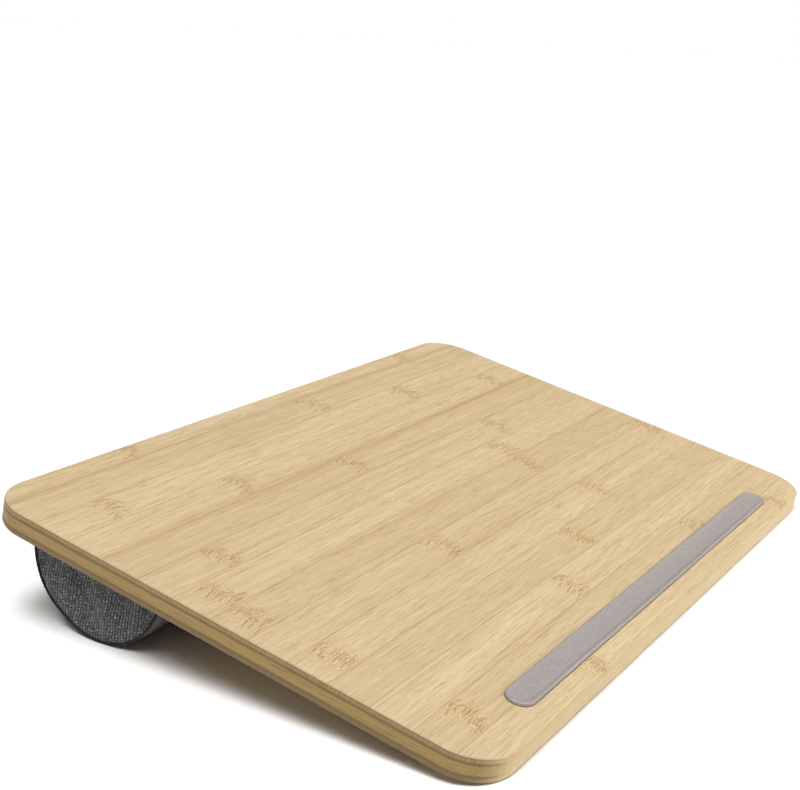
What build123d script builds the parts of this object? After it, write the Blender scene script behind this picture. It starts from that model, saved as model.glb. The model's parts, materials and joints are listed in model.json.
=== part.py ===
from build123d import *
import math
import os

# A lap desk: a three-ply bamboo board on a half-round cushion, in millimetres. The user sits at -Y and +X is
# to their right. Every piece is drawn on the level board, with the origin at the middle of its top face, and
# the last section tilts it as it rests: on the board's lower front edge and the underside of the cushion.

# Board
BOARD_WIDTH = 416.0
BOARD_DEPTH = 270.0
BOARD_CORNER_RADIUS = 22.5
TOP_PLY = 3.0
CORE_PLY = 6.0
BOTTOM_PLY = 3.0
TOP_EDGE_RADIUS = 1.0
BOTTOM_EDGE_RADIUS = 1.6
BOARD_THICKNESS = TOP_PLY + CORE_PLY + BOTTOM_PLY

# Stop strip, set into the top ply
STRIP_LENGTH = 319.0
STRIP_WIDTH = 14.0
STRIP_FRONT_MARGIN = 10.0
STRIP_PROUD = 1.6
STRIP_POCKET_DEPTH = 1.0
STRIP_SIDE_CLEARANCE = 0.15
STRIP_EDGE_RADIUS = 1.0
STRIP_RIM = 2.4
STRIP_DISH_DEPTH = 0.4
ADHESIVE = 0.2
STRIP_Y = -BOARD_DEPTH / 2 + STRIP_FRONT_MARGIN + STRIP_WIDTH / 2

# Hook-and-loop tape between the board and the cushion
TAPE_LENGTH = 350.0
TAPE_WIDTH = 25.0
TAPE_THICKNESS = 0.85
TAPE_SPACING = 44.0
TAPE_CORNER_RADIUS = 3.0
CUSHION_GAP = 2.0

# Cushion: half-round, flat side up, lying along X under the rear of the board
CUSHION_LENGTH = 389.0
CUSHION_RADIUS = 38.5
CUSHION_Y = 76.0
CUSHION_SAG = 0.6
FABRIC = 0.8
PIPING_WIDTH = 1.6
PIPING_PROUD = 0.4
PIPING_EDGE_RADIUS = 0.35
PIPING_DEPTH = 1.2
FOAM_CLEARANCE = 0.2
FOAM_CHANNEL_MARGIN = 2.0
CUSHION_Z = -BOARD_THICKNESS - CUSHION_GAP

# Zip, along the rear of the cushion, in a slot of the curved panel. Angles go down from the flat side.
ZIP_ANGLE = 11.0
ZIP_SLOT_WIDTH = 10.0
ZIP_SLOT_LENGTH = 320.0
ZIP_TAPE_LENGTH = 318.0
ZIP_TAPE_WIDTH = 5.8
ZIP_TAPE = 0.5
ZIP_TAPE_DEPTH = 0.85
ZIP_COIL_WIDTH = 1.6
ZIP_COIL = 1.2
ZIP_COIL_LENGTH = 312.0
ZIP_COIL_GAP = 1.1
ZIP_STOP_LENGTH = 2.0
ZIP_STOP = 0.5
ZIP_STOP_CLEARANCE = 0.05
ZIP_STOP_SPLIT = 0.1

# Zip slider and its pull tab
SLIDER_LENGTH = 11.0
SLIDER_WIDTH = 8.0
SLIDER_WING = 1.0
SLIDER_GAP_OVER = 0.3
SLIDER_GAP_UNDER = 0.4
SLIDER_BRIDGE = 0.7
SLIDER_BRIDGE_LENGTH = 2.5
SLIDER_FLANGE = 0.7
SLIDER_FLANGE_DEPTH = 1.1
SLIDER_STOP_GAP = 0.5
CROWN_LENGTH = 6.4
CROWN_WIDTH = 1.6
CROWN_BAR = 0.9
CROWN_OPENING = 1.7
PULL_LENGTH = 24.0
PULL_WIDTH = 5.6
PULL_THICKNESS = 1.0
PULL_PIN_RADIUS = 0.55
PULL_ARM = 1.2
PULL_WINDOW_LENGTH = 5.0

# How far a cut runs past the face that it opens
CUT_PAST = 1.0

# The floor touches the rounded lower front edge and the cushion, so their two distances to it give the tilt.
edge_y = -BOARD_DEPTH / 2 + BOTTOM_EDGE_RADIUS
edge_z = -BOARD_THICKNESS + BOTTOM_EDGE_RADIUS
floor_distance = CUSHION_RADIUS - CUSHION_SAG
reach = math.hypot(CUSHION_Y - edge_y, CUSHION_Z - edge_z)
TILT = math.degrees(
    math.asin((floor_distance - BOTTOM_EDGE_RADIUS) / reach)
    + math.atan2(edge_z - CUSHION_Z, CUSHION_Y - edge_y)
)

FAR = 4 * CUSHION_RADIUS


def slab(sketch, z_low, z_high):
    """A sketch on XY made solid between two heights."""
    return extrude(Pos(0, 0, z_low) * sketch, amount=z_high - z_low)


def along_x(sketch, x_low, x_high):
    """A cross-section of the cushion, as (Y, Z) from the middle of its flat side, made solid along X."""
    solid = extrude(Plane.YZ.offset(x_low) * sketch, amount=x_high - x_low)
    return Pos(0, CUSHION_Y, CUSHION_Z) * solid


def half_round(radius, top, to_floor):
    """The cushion's cross-section: a circle cut by its flat side, `top` below it, and by the floor."""
    below_top = Pos(0, -top - FAR / 2) * Rectangle(FAR, FAR)
    above_floor = Rot(0, 0, -TILT) * Pos(0, FAR / 2 - to_floor) * Rectangle(FAR, FAR)
    return Circle(radius) & below_top & above_floor


def degrees_along(arc_length):
    return math.degrees(arc_length / CUSHION_RADIUS)


def arc_band(radius_in, radius_out, low, high):
    """A band between two radii, from `low` to `high` mm down the zip's arc from the zip's middle."""
    angles = [-math.radians(ZIP_ANGLE + degrees_along(a)) for a in (low, high)]
    corners = [(FAR * math.cos(a), FAR * math.sin(a)) for a in angles]
    wedge = make_face(Polyline((0, 0), corners[0], corners[1], close=True))
    return (Circle(radius_out) - Circle(radius_in)) & wedge


# On the zip: u along X, v down the arc, w out of the cushion, from the cushion's axis.
zip_plane = Plane(
    origin=(0, CUSHION_Y, CUSHION_Z),
    x_dir=(1, 0, 0),
    z_dir=(0, math.cos(math.radians(ZIP_ANGLE)), -math.sin(math.radians(ZIP_ANGLE))),
)


def zip_block(u_range, v_range, w_range):
    """A block on the zip, from its ranges along u, v and w."""
    size = [high - low for low, high in (u_range, v_range, w_range)]
    middle = [(low + high) / 2 for low, high in (u_range, v_range, w_range)]
    return zip_plane * Pos(*middle) * Box(*size)


pieces = {}

# Board
outline = RectangleRounded(BOARD_WIDTH, BOARD_DEPTH, BOARD_CORNER_RADIUS)
core_top = -TOP_PLY
core_bottom = -TOP_PLY - CORE_PLY

top_ply = slab(outline, core_top, 0)
top_ply = fillet(top_ply.faces().sort_by(Axis.Z)[-1].edges(), TOP_EDGE_RADIUS)
pocket = Pos(0, STRIP_Y) * SlotOverall(STRIP_LENGTH, STRIP_WIDTH)
pieces["top_ply"] = top_ply - slab(pocket, -STRIP_POCKET_DEPTH, CUT_PAST)
pieces["core_ply"] = slab(outline, core_bottom, core_top)
bottom_ply = slab(outline, -BOARD_THICKNESS, core_bottom)
pieces["bottom_ply"] = fillet(bottom_ply.faces().sort_by(Axis.Z)[0].edges(), BOTTOM_EDGE_RADIUS)

# Stop strip: a raised rim with rounded edges round a shallow dish
strip_width = STRIP_WIDTH - 2 * STRIP_SIDE_CLEARANCE
strip_length = STRIP_LENGTH - 2 * STRIP_SIDE_CLEARANCE
strip_plan = Pos(0, STRIP_Y) * SlotOverall(strip_length, strip_width)
dish_plan = Pos(0, STRIP_Y) * SlotOverall(strip_length - 2 * STRIP_RIM, strip_width - 2 * STRIP_RIM)
strip_bottom = -STRIP_POCKET_DEPTH + ADHESIVE
stop_strip = slab(strip_plan, strip_bottom, STRIP_PROUD)
stop_strip = fillet(stop_strip.faces().sort_by(Axis.Z)[-1].edges(), STRIP_EDGE_RADIUS)
pieces["stop_strip"] = stop_strip - slab(dish_plan, STRIP_PROUD - STRIP_DISH_DEPTH, STRIP_PROUD + CUT_PAST)
pieces["strip_adhesive"] = slab(dish_plan, -STRIP_POCKET_DEPTH, strip_bottom)

# Hook-and-loop tapes: hooks on the board, loops on the cushion
tape_plan = RectangleRounded(TAPE_LENGTH, TAPE_WIDTH, TAPE_CORNER_RADIUS)
for place, side in (("front", -1), ("rear", 1)):
    tape_at = Pos(0, CUSHION_Y + side * TAPE_SPACING / 2) * tape_plan
    pieces[f"hook_tape_{place}"] = slab(tape_at, -BOARD_THICKNESS - TAPE_THICKNESS, -BOARD_THICKNESS)
    pieces[f"loop_tape_{place}"] = slab(tape_at, CUSHION_Z, CUSHION_Z + TAPE_THICKNESS)

# Cushion cover and its foam
half_length = CUSHION_LENGTH / 2
panel_end = half_length + PIPING_PROUD / 2 - PIPING_WIDTH
outer = half_round(CUSHION_RADIUS, FABRIC, floor_distance)
inner = half_round(CUSHION_RADIUS - FABRIC, 0, floor_distance - FABRIC)
slot_depth = (CUSHION_RADIUS - FABRIC - CUT_PAST, CUSHION_RADIUS + CUT_PAST)
slot = arc_band(*slot_depth, -ZIP_SLOT_WIDTH / 2, ZIP_SLOT_WIDTH / 2)
cover_curved = along_x(outer - inner, -panel_end, panel_end)
pieces["cover_curved"] = cover_curved - along_x(slot, -ZIP_SLOT_LENGTH / 2, ZIP_SLOT_LENGTH / 2)

cover_top = Pos(0, -FABRIC / 2) * Rectangle(2 * CUSHION_RADIUS, FABRIC)
pieces["cover_top"] = along_x(cover_top, -panel_end, panel_end)

end_panel = half_round(CUSHION_RADIUS - PIPING_DEPTH, PIPING_DEPTH, floor_distance - PIPING_DEPTH)
piping_outer = half_round(CUSHION_RADIUS + PIPING_PROUD, 0, floor_distance)
piping = along_x(piping_outer - end_panel, panel_end, panel_end + PIPING_WIDTH)
outer_face = piping.faces().sort_by(Axis.X)[-1]
piping = fillet(outer_face.outer_wire().edges(), PIPING_EDGE_RADIUS)
end_cover = along_x(end_panel, half_length - FABRIC, half_length)
pieces["piping_right"] = piping
pieces["cover_end_right"] = end_cover
pieces["piping_left"] = mirror(piping, about=Plane.YZ)
pieces["cover_end_left"] = mirror(end_cover, about=Plane.YZ)

foam_inset = FABRIC + FOAM_CLEARANCE
foam = half_round(CUSHION_RADIUS - foam_inset, foam_inset, floor_distance - foam_inset)
foam_end = panel_end - FOAM_CLEARANCE
channel_half_width = ZIP_TAPE_WIDTH + FOAM_CHANNEL_MARGIN
channel_floor = CUSHION_RADIUS - ZIP_TAPE_DEPTH - ZIP_TAPE - SLIDER_GAP_UNDER - SLIDER_WING - FOAM_CLEARANCE
channel = zip_block(
    (-ZIP_SLOT_LENGTH / 2, ZIP_SLOT_LENGTH / 2),
    (-channel_half_width, channel_half_width),
    (channel_floor, CUSHION_RADIUS + CUT_PAST),
)
pieces["foam_core"] = along_x(foam, -foam_end, foam_end) - channel

# Zip: a tape and a coil of teeth on each side
tape_out = CUSHION_RADIUS - ZIP_TAPE_DEPTH
tape_in = tape_out - ZIP_TAPE
coil_out = tape_out + ZIP_COIL
coil_edge = ZIP_COIL_GAP / 2
half_tape = ZIP_TAPE_LENGTH / 2
half_coil = ZIP_COIL_LENGTH / 2
for place, side in (("upper", -1), ("lower", 1)):
    tape_span = sorted((side * coil_edge, side * (coil_edge + ZIP_TAPE_WIDTH)))
    coil_span = sorted((side * coil_edge, side * (coil_edge + ZIP_COIL_WIDTH)))
    pieces[f"zip_tape_{place}"] = along_x(arc_band(tape_in, tape_out, *tape_span), -half_tape, half_tape)
    pieces[f"zip_coil_{place}"] = along_x(arc_band(tape_out, coil_out, *coil_span), -half_coil, half_coil)

# End stops: a clamp on each tape where the zip closes, and one clamp over both where it opens
stop_face = half_coil + ZIP_STOP / 2
stop_half_width = coil_edge + ZIP_COIL_WIDTH
web_edge = coil_edge - ZIP_STOP_CLEARANCE
stop_plates = ((tape_out, tape_out + ZIP_STOP), (tape_in - 2 * ZIP_STOP, tape_in - ZIP_STOP / 2))
web_height = (tape_in - 2 * ZIP_STOP, tape_out + ZIP_STOP)
closed_u = (stop_face, stop_face + ZIP_STOP_LENGTH)
open_u = (-stop_face - ZIP_STOP_LENGTH, -stop_face)
closed_stops = []
for side in (-1, 1):
    plate_v = sorted((side * ZIP_STOP_SPLIT, side * stop_half_width))
    web_v = sorted((side * ZIP_STOP_SPLIT, side * web_edge))
    clamp = zip_block(closed_u, web_v, web_height)
    for plate in stop_plates:
        clamp += zip_block(closed_u, plate_v, plate)
    closed_stops.append(clamp)
pieces["zip_stop_closed"] = Compound(closed_stops)
open_stop = zip_block(open_u, (-web_edge, web_edge), web_height)
for plate in stop_plates:
    open_stop += zip_block(open_u, (-stop_half_width, stop_half_width), plate)
pieces["zip_stop_open"] = open_stop

# Slider, at the closed end: two wings, a bridge between the coils, side flanges and a crown for the pull
slider_u = half_coil + ZIP_STOP / 2 - SLIDER_STOP_GAP - SLIDER_LENGTH / 2
body_u = (slider_u - SLIDER_LENGTH / 2, slider_u + SLIDER_LENGTH / 2)
body_v = (-SLIDER_WIDTH / 2, SLIDER_WIDTH / 2)
wing_low = coil_out + SLIDER_GAP_OVER
wing_top = wing_low + SLIDER_WING
under_top = tape_in - SLIDER_GAP_UNDER
slider = zip_block(body_u, body_v, (wing_low, wing_top))
slider += zip_block(body_u, body_v, (under_top - SLIDER_WING, under_top))
bridge_u = (body_u[1] - SLIDER_BRIDGE_LENGTH, body_u[1])
slider += zip_block(bridge_u, (-SLIDER_BRIDGE / 2, SLIDER_BRIDGE / 2), (under_top, wing_low))
for side in (-1, 1):
    flange_v = sorted((side * SLIDER_WIDTH / 2, side * (SLIDER_WIDTH / 2 - SLIDER_FLANGE)))
    slider += zip_block(body_u, flange_v, (wing_low - SLIDER_FLANGE_DEPTH, wing_low))
crown_u = (slider_u - CROWN_LENGTH / 2, slider_u + CROWN_LENGTH / 2)
crown_v = (-CROWN_WIDTH / 2, CROWN_WIDTH / 2)
crown = zip_block(crown_u, crown_v, (wing_top, wing_top + CROWN_OPENING + CROWN_BAR))
crown_gap_u = (crown_u[0] + CROWN_BAR, crown_u[1] - CROWN_BAR)
crown -= zip_block(crown_gap_u, (-CROWN_WIDTH, CROWN_WIDTH), (wing_top, wing_top + CROWN_OPENING))
pieces["zip_slider"] = slider + crown

# Pull tab: its pin lies across under the crown, and the tab lies back along the zip
pin_w = wing_top + CROWN_OPENING / 2
pin = zip_plane * Pos(slider_u, 0, pin_w) * Rot(90, 0, 0) * Cylinder(PULL_PIN_RADIUS, PULL_WIDTH)
tab_u = (slider_u - PULL_LENGTH, slider_u + PULL_PIN_RADIUS)
tab_w = (pin_w - PULL_THICKNESS / 2, pin_w + PULL_THICKNESS / 2)
tab = zip_block(tab_u, (-PULL_WIDTH / 2, PULL_WIDTH / 2), tab_w)
window_u = (slider_u - PULL_WINDOW_LENGTH, slider_u + CUT_PAST)
window_half = PULL_WIDTH / 2 - PULL_ARM
tab -= zip_block(window_u, (-window_half, window_half), (pin_w - CUT_PAST, pin_w + CUT_PAST))
pieces["zip_pull"] = tab + pin

# Tilt every piece as the desk rests, with the origin at the middle of its base.
tilted = {name: Rot(TILT, 0, 0) * piece for name, piece in pieces.items()}
box = Compound(list(tilted.values())).bounding_box()
to_origin = Pos(-(box.min.X + box.max.X) / 2, -(box.min.Y + box.max.Y) / 2, -box.min.Z)

os.makedirs("parts", exist_ok=True)
for name, piece in tilted.items():
    export_step(to_origin * piece, f"parts/{name}.step")

# The values that the mounts and joints state
placed = to_origin * Rot(TILT, 0, 0)
pin_at = placed * zip_plane.location * Pos(slider_u, 0, pin_w)
print("tilt", round(TILT, 4), "size", [round(v, 3) for v in box.size])
print("middle of the top face", placed.position)
print("pull hinge", pin_at.position, "axis down the arc", Plane(pin_at).y_dir)
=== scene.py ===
import json
import random
from math import acos, atan2, copysign, cos, degrees, exp, pi, radians, sin, tan, tau

import bmesh
import bpy
import numpy as np
from mathutils import Matrix, Vector
from mathutils.bvhtree import BVHTree

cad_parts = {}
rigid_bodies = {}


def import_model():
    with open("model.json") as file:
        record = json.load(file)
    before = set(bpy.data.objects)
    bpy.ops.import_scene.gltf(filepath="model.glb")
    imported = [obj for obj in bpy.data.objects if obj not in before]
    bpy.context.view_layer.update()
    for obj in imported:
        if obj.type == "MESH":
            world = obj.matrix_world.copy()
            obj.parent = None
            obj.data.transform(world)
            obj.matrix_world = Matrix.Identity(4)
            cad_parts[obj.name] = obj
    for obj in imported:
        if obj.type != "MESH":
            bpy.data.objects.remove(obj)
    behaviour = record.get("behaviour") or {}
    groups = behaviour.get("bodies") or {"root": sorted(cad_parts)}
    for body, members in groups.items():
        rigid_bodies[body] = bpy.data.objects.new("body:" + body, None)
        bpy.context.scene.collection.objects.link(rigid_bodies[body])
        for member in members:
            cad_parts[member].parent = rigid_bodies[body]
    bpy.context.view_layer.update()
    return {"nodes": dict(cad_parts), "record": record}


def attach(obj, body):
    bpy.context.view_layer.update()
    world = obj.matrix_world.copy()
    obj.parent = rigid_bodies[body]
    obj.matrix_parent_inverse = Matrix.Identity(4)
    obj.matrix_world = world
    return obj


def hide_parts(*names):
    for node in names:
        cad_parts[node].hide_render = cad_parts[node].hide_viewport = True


# A lap desk: a three-ply bamboo board on a half-round fabric cushion. Pieces are drawn on the level board, in
# millimetres, with X to the user's right, Y away from the user and Z out of the board's top face, and then
# tilt with it. Every material reads level coordinates too.

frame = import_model()
NODES = frame["nodes"]
MM = 0.001


def board_to_row():
    """The matrix from the level board, in metres, to the row frame, from the mount on the top face."""
    mount = next(m for m in frame["record"]["mounts"] if m["name"] == "laptop_face")
    normal = Vector(mount["axis"]).normalized()
    right = Vector((1, 0, 0))
    turn = Matrix((right, normal.cross(right), normal)).transposed().to_4x4()
    return Matrix.Translation(mount["pos_m"]) @ turn


BOARD = board_to_row()
TILT = atan2(-BOARD[1][2], BOARD[2][2])
UP = BOARD.to_3x3().transposed() @ Vector((0, 0, 1))


def level_box(node):
    """(lowest, highest) corner of a CAD node on the level board, in millimetres."""
    to_level = BOARD.inverted()
    points = np.array([to_level @ v.co / MM for v in NODES[node].data.vertices])
    return Vector(points.min(axis=0)), Vector(points.max(axis=0))


# ---- camera and light
CAMERA_AT = (-0.6317, -0.3361, 0.285)
CAMERA_AIM = (0.08775, 0.08916, 0.05467)
CAMERA_ROLL = radians(2.736)
CAMERA_LENS = 63.387
CAMERA_SENSOR = 36.0
SKY_TOWARDS = (-0.35, -0.09, 0.935)
SKY_FOCUS = 40.0
SKY_SOFTBOX = 23.8
SKY_ALL_ROUND = 0.05
SKY_HORIZON = 0.07
SKY_HORIZON_BLUR = 0.03
KEY_AT = (0.75, -1.5, 0.5)
KEY_AIM = (0.0, 0.0, 0.03)
KEY_SIZE = 0.9
KEY_POWER = 14.0
FLOOR_RADIUS = 12.0
FLOOR_CORNERS = 96
FLOOR_WHITE = (0.97, 0.97, 0.97, 1.0)


def set_all(thing, **settings):
    for name, setting in settings.items():
        setattr(thing, name, setting)


def new_object(name, data):
    made = bpy.data.objects.new(name, data)
    bpy.context.scene.collection.objects.link(made)
    return made


def aimed(at, aim):
    """The matrix of something that stands in one place and looks at another."""
    look = (Vector(aim) - Vector(at)).to_track_quat("-Z", "Y").to_matrix().to_4x4()
    return Matrix.Translation(at) @ look


def make_camera():
    data = bpy.data.cameras.new("camera")
    set_all(data, lens=CAMERA_LENS, sensor_width=CAMERA_SENSOR, clip_start=0.01)
    camera = new_object("camera", data)
    camera.matrix_world = aimed(CAMERA_AT, CAMERA_AIM) @ Matrix.Rotation(CAMERA_ROLL, 4, "Z")
    bpy.context.scene.camera = camera


def make_key_light():
    """A soft light from the front right that makes no highlight."""
    data = bpy.data.lights.new("key", "AREA")
    set_all(data, shape="DISK", size=KEY_SIZE, energy=KEY_POWER)
    light = new_object("key", data)
    light.matrix_world = aimed(KEY_AT, KEY_AIM)
    light.visible_glossy = False


def make_sky():
    """A wide soft light overhead and a weak one all round. What is seen behind the floor is plain white."""
    world = bpy.data.worlds.new("studio")
    world.use_nodes = True
    tree = world.node_tree
    right, away, up = parts_of(shader_node(tree, "TexCoord", {}, "Generated"))
    centre = Vector(SKY_TOWARDS).normalized()
    facing = (right * centre.x + away * centre.y + up * centre.z).max(0.0)
    overhead = facing.power(SKY_FOCUS) * SKY_SOFTBOX + SKY_ALL_ROUND
    light = overhead + up.fade(SKY_HORIZON + SKY_HORIZON_BLUR, SKY_HORIZON)
    seen = shader_node(tree, "LightPath", {}, "Is Camera Ray")
    background = tree.nodes["Background"]
    background.inputs["Color"].default_value = (1.0, 1.0, 1.0, 1.0)
    plug(light + seen * (1.0 - light), background.inputs["Strength"])
    bpy.context.scene.world = world


def make_floor():
    surface = Surface("floor_white")
    surface.set(Base_Color=FLOOR_WHITE, Roughness=1.0, Specular_IOR_Level=0.0)
    angles = [tau * i / FLOOR_CORNERS for i in range(FLOOR_CORNERS)]
    ring = [(FLOOR_RADIUS * cos(a), FLOOR_RADIUS * sin(a), 0) for a in angles]
    mesh = bpy.data.meshes.new("floor")
    mesh.from_pydata(ring, [], [list(range(FLOOR_CORNERS))])
    mesh.materials.append(surface.material)
    new_object("floor", mesh)


def make_studio():
    bpy.context.scene.view_settings.view_transform = "Standard"
    make_camera()
    make_sky()
    make_floor()
    make_key_light()


# ---- shader values
def shader_node(tree, kind, inputs, output=0, **settings):
    """Adds a node with its settings, plugs its inputs, and returns one output as a value."""
    node = tree.nodes.new("ShaderNode" + kind)
    set_all(node, **settings)
    for key, item in inputs.items():
        plug(item, node.inputs[key])
    return Value(tree, node.outputs[output])


def plug(item, socket):
    """Links a shader value to a socket, or sets a constant on it."""
    if isinstance(item, Value):
        item.tree.links.new(item.socket, socket)
    else:
        socket.default_value = item


def math_node(operation):
    """A method that adds a Math node: the value itself is its first input."""
    return lambda self, *others: shader_node(
        self.tree, "Math", dict(enumerate((self, *others))), operation=operation)


class Value:
    """One shader value of a node tree. Arithmetic on it adds Math nodes."""

    __add__ = math_node("ADD")
    __sub__ = math_node("SUBTRACT")
    __mul__ = math_node("MULTIPLY")
    __truediv__ = math_node("DIVIDE")
    times_plus = math_node("MULTIPLY_ADD")
    abs = math_node("ABSOLUTE")
    round = math_node("ROUND")
    floor = math_node("FLOOR")
    fract = math_node("FRACT")
    sin = math_node("SINE")
    cos = math_node("COSINE")
    power = math_node("POWER")
    max = math_node("MAXIMUM")
    min = math_node("MINIMUM")
    above = math_node("GREATER_THAN")

    def __init__(self, tree, socket):
        self.tree = tree
        self.socket = socket

    def __rsub__(self, other):
        return self.times_plus(-1.0, other)

    def fade(self, start, end):
        """0 at start, 1 at end, with a smooth turn between them; start may be the larger."""
        low, high, to_low, to_high = (start, end, 0.0, 1.0) if start < end else (end, start, 1.0, 0.0)
        inputs = {"Value": self, "From Min": low, "From Max": high, "To Min": to_low, "To Max": to_high}
        return shader_node(self.tree, "MapRange", inputs, "Result", interpolation_type="SMOOTHSTEP")


def vector(*parts):
    tree = next(part.tree for part in parts if isinstance(part, Value))
    return shader_node(tree, "CombineXYZ", dict(enumerate(parts)))


def parts_of(item):
    first = shader_node(item.tree, "SeparateXYZ", {0: item})
    return [Value(item.tree, out) for out in first.socket.node.outputs]


def noise(at, detail=2.0, roughness=0.5, scale=1.0):
    """Noise from 0 to 1 at a vector value, or at the three parts of one."""
    if not isinstance(at, Value):
        at = vector(*at)
    inputs = {"Vector": at, "Scale": scale, "Detail": detail, "Roughness": roughness}
    return shader_node(at.tree, "TexNoise", inputs, "Fac")


def chance(*parts):
    """A number from 0 to 1 that is the same wherever the parts are the same."""
    at = vector(*parts)
    return shader_node(at.tree, "TexWhiteNoise", {"Vector": at}, "Value")


def blend(first, second, share):
    """first where share is 0 and second where it is 1. Colours are (r, g, b) or values."""
    first, second = (item if isinstance(item, Value) else (*item, 1.0) for item in (first, second))
    return shader_node(share.tree, "Mix", {"Factor": share, 6: first, 7: second}, 2, data_type="RGBA")


def layered(colour, *layers):
    """A colour with others laid over it in turn, each an (over, share) pair."""
    for over, share in layers:
        colour = blend(colour, over, share)
    return colour


def scale_colour(colour, factor):
    return shader_node(colour.tree, "VectorMath", {0: colour, "Scale": factor}, operation="SCALE")


class Surface:
    """A new material with its tree, its shader and level coordinates in millimetres."""

    def __init__(self, name):
        self.material = bpy.data.materials.new(name)
        self.material.use_nodes = True
        self.tree = self.material.node_tree
        self.shader = self.tree.nodes["Principled BSDF"]
        place = {"Location": BOARD.translation, "Rotation": (TILT, 0, 0), "Scale": (MM, MM, MM)}
        place["Vector"] = shader_node(self.tree, "TexCoord", {}, "Object")
        self.at = shader_node(self.tree, "Mapping", place, vector_type="TEXTURE")
        self.x, self.y, self.z = parts_of(self.at)

    def uv(self, name):
        """The piece's own (u, v), in millimetres, from a UV map in metres."""
        u, v, _ = parts_of(shader_node(self.tree, "UVMap", {}, uv_map=name))
        return u / MM, v / MM

    def set(self, **values):
        """Shader inputs by name, with _ for a space."""
        for name, item in values.items():
            plug(item, self.shader.inputs[name.replace("_", " ")])

    def finished(self, colour, roughness, height, depth_mm, **others):
        """The material, with its colour, its roughness and a relief whose height of 1 is depth_mm high."""
        relief = {"Height": height, "Distance": depth_mm * MM, "Strength": 1.0}
        normal = shader_node(self.tree, "Bump", relief)
        self.set(Base_Color=colour, Roughness=roughness, Normal=normal, **others)
        return self.material


# ---- bamboo
BOARD_LOW, BOARD_HIGH = level_box("core_ply")
CORNER_RADIUS = 22.5
STRIP_PITCH = 20.1
STRIP_START = 1.5
STRIPS_IN_FRONT = 7
NODE_MARK_SPACING = 265.0
NODE_ROW_PITCH = 1.6
# Where each strip's first node mark lies, as a share of the spacing, from the front strip to the rear one.
NODE_MARK_PLACES = (0.4, 0.105, 0.62, 0.83, 0.075, 0.55, 0.057, 0.078, 0.18, 0.7, 0.43, 0.145, 0.88, 0.35)


def outline_distance(s):
    """Millimetres in from the board's outline, negative inside."""
    across = s.x.abs() - (BOARD_HIGH.x - CORNER_RADIUS)
    along = s.y.abs() - (BOARD_HIGH.y - CORNER_RADIUS)
    out_x, out_y = across.max(0.0), along.max(0.0)
    return (out_x * out_x + out_y * out_y).power(0.5) + across.max(along).min(0.0) - CORNER_RADIUS


def fibres(along, across, height, seed):
    """Bamboo fibre, from 0 to 1: fine streaks, short dark dashes, short pale ones, and broad tone bands."""
    across = across + (noise((along * 0.01, across * 0.03, seed)) - 0.5) * 3.0
    fine = noise((along * 0.045, across * 1.5, height * 1.5 + seed), 4.0, 0.75)
    dark = noise((along * 0.075, across * 1.7, height * 1.7 + seed + 31.0), 2.0, 0.6)
    pale = noise((along * 0.055, across * 1.4, height * 1.4 + seed + 57.0), 2.0, 0.6)
    bands = noise((along * 0.006, across * 0.3, height * 0.3 + seed + 77.0), 3.0, 0.6)
    return fine, dark.fade(0.52, 0.7), pale.fade(0.54, 0.72), bands


def fibre_colour(pale, middle, dark, fibre):
    """Bamboo's colour from its fibres, between three colours."""
    fine, dashes, pale_dashes, bands = fibre
    return layered(
        blend(pale, middle, bands.fade(0.2, 0.8) * 0.65 + 0.25),
        (pale, pale_dashes * 0.7),
        (dark, fine.fade(0.45, 0.78) * 0.66),
        (dark, dashes * 0.4),
    )


def end_facing(s):
    """1 on faces that look along X, where the outer plies show end grain, and 0 on those along Y."""
    return parts_of(shader_node(s.tree, "TexCoord", {}, "Normal"))[0].abs().fade(0.12, 0.85)


def strip_lottery(strip, table):
    """A strip's own number from a table with one entry for each strip, from the front to the rear."""
    count = len(table)
    own = shader_node(strip.tree, "ValToRGB", {"Fac": (strip + (STRIPS_IN_FRONT + 0.5)) / count}, "Color")
    ramp = own.socket.node.color_ramp
    ramp.interpolation = "CONSTANT"
    for i, share in enumerate(table):
        step = ramp.elements[i] if i < len(ramp.elements) else ramp.elements.new(i / count)
        step.position = i / count
        step.color = (share, share, share, 1.0)
    return own


def node_marks(s, strip, across):
    """Where a strip crosses a node, from 0 to 1: dark curved dashes, pale flecks, and the zone round them."""
    place = strip_lottery(strip, NODE_MARK_PLACES)
    turns = (s.x - BOARD_LOW.x) / NODE_MARK_SPACING - place
    knot = turns.round()
    along = (turns - knot) * NODE_MARK_SPACING
    blur = noise((along * 0.28, s.y * 0.42, strip), 3.0, 0.65) - 0.5
    side = across - 0.5
    bow = along + side * side * 16.0 + blur * 12.0
    rows = s.y / NODE_ROW_PITCH + bow * bow * 0.016 + blur * 1.5
    row = rows.floor()
    shift = (chance(row, strip, knot) - 0.5) * 11.0
    length = chance(row, strip, knot + 9.0) * 3.0 + 1.6
    line = (rows.fract() - 0.5).abs().fade(0.36, 0.12)
    dash = line * ((bow + shift).abs() - length).fade(1.6, -0.6)
    flecks = noise((s.x * 0.55, s.y * 1.5, strip + 3.0), 2.0, 0.6)
    ends = across.fade(0.0, 0.07) * across.fade(1.0, 0.93)
    zone = bow.abs().fade(13.0, 3.0) * ends
    return dash * ends * (blur * 1.6 + 0.75).max(0.15).min(1.0), flecks.fade(0.46, 0.66) * zone, zone


def end_pores(s, pitch):
    """The fine speckle of cut fibre ends; pitch is along the board."""
    return noise((s.x * pitch, s.y * 2.4, s.z * 2.4), 4.0, 0.7)


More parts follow.
